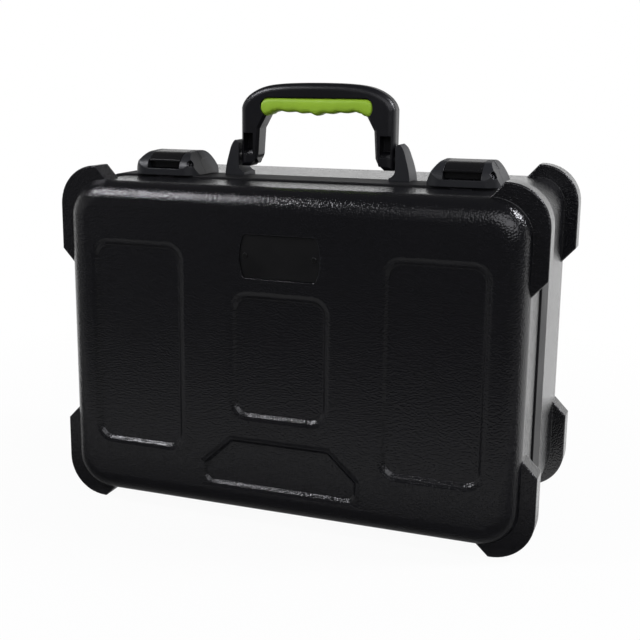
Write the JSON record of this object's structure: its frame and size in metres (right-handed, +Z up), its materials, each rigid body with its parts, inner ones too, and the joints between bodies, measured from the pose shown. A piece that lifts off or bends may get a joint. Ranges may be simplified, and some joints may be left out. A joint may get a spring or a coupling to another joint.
{
  "type": "microphone case",
  "caption": "Hard carrying case for microphones: two moulded shells joined by hinges, lever latches, folding handle with soft grip, padded slots inside.",
  "frame": {"origin": "on the floor, in the middle of the case's width and depth, as it stands on the corner guards of its hinge side", "axes": "+X along the case's width, the lid faces -Y, +Z up through the handle"},
  "size_m": [0.4476, 0.231, 0.394],
  "materials": {
    "shell": "black, fine grain, satin",
    "rim": "black, smooth, matt",
    "seal": "black foam rubber",
    "latch_plastic": "black nylon, semi-matt",
    "handle_plastic": "black nylon, satin",
    "grip": "lime green soft grip",
    "plate": "black, satin",
    "plate_rivet": "black, glossy",
    "blackened_steel": "blackened steel",
    "steel": "zinc plated",
    "lock_metal": "dark nickel",
    "foam": "charcoal open-cell foam"
  },
  "bodies": {
    "base": {"base_shell": "shell", "base_rim": "rim", "rim_seal": "seal", "latch_housing_left": "latch_plastic", "latch_housing_right": "latch_plastic", "latch_pin_left": "steel", "latch_pin_right": "steel", "latch_spring_left": "steel", "latch_spring_right": "steel", "latch_screws": "steel", "handle_bracket_left": "handle_plastic", "handle_bracket_right": "handle_plastic", "handle_pin_left": "steel", "handle_pin_right": "steel", "bracket_screws": "steel", "hinge_base_leaf_left": "blackened_steel", "hinge_base_leaf_right": "blackened_steel", "hinge_pin_left": "steel", "hinge_pin_right": "steel", "base_hinge_rivets": "steel", "foam_rails": "foam", "foam_dividers": "foam", "foam_floor": "foam"},
    "lid": {"lid_shell": "shell", "lid_rim": "rim", "name_plate": "plate", "name_plate_rivets": "plate_rivet", "latch_keeper_left": "blackened_steel", "latch_keeper_right": "blackened_steel", "keeper_screws": "steel", "hinge_lid_leaf_left": "blackened_steel", "hinge_lid_leaf_right": "blackened_steel", "lid_hinge_rivets": "steel", "lid_foam": "foam"},
    "handle": {"handle_bow": "handle_plastic", "handle_grip": "grip"},
    "lever_left": {"latch_lever_left": "latch_plastic"},
    "lever_right": {"latch_lever_right": "latch_plastic"},
    "lock_left": {"lock_cylinder_left": "lock_metal"},
    "lock_right": {"lock_cylinder_right": "lock_metal"}
  },
  "joints": [
    {"name": "lid_hinge", "type": "hinge", "parent": "base", "child": "lid", "pos_m": [0, -0.0505, 0.005], "axis": [1, 0, 0], "range_deg": [0, 105]},
    {"name": "handle_pivot", "type": "hinge", "parent": "base", "child": "handle", "pos_m": [0, -0.016, 0.327], "axis": [1, 0, 0], "range_deg": [-88, 88]},
    {"name": "lever_left_pivot", "type": "hinge", "parent": "base", "child": "lever_left", "pos_m": [-0.141, -0.0215, 0.32], "axis": [1, 0, 0], "range_deg": [-70, 0], "stiffness_Nm_per_rad": 0.05, "springref_deg": 22.92},
    {"name": "lever_right_pivot", "type": "hinge", "parent": "base", "child": "lever_right", "pos_m": [0.141, -0.0215, 0.32], "axis": [1, 0, 0], "range_deg": [-70, 0], "stiffness_Nm_per_rad": 0.05, "springref_deg": 22.92},
    {"name": "lock_left_turn", "type": "hinge", "parent": "base", "child": "lock_left", "pos_m": [-0.1144, -0.0491, 0.3194], "axis": [0.7485, -0.499, 0.4366], "range_deg": [0, 90]},
    {"name": "lock_right_turn", "type": "hinge", "parent": "base", "child": "lock_right", "pos_m": [0.1676, -0.0491, 0.3194], "axis": [0.7485, -0.499, 0.4366], "range_deg": [0, 90]}
  ]
}
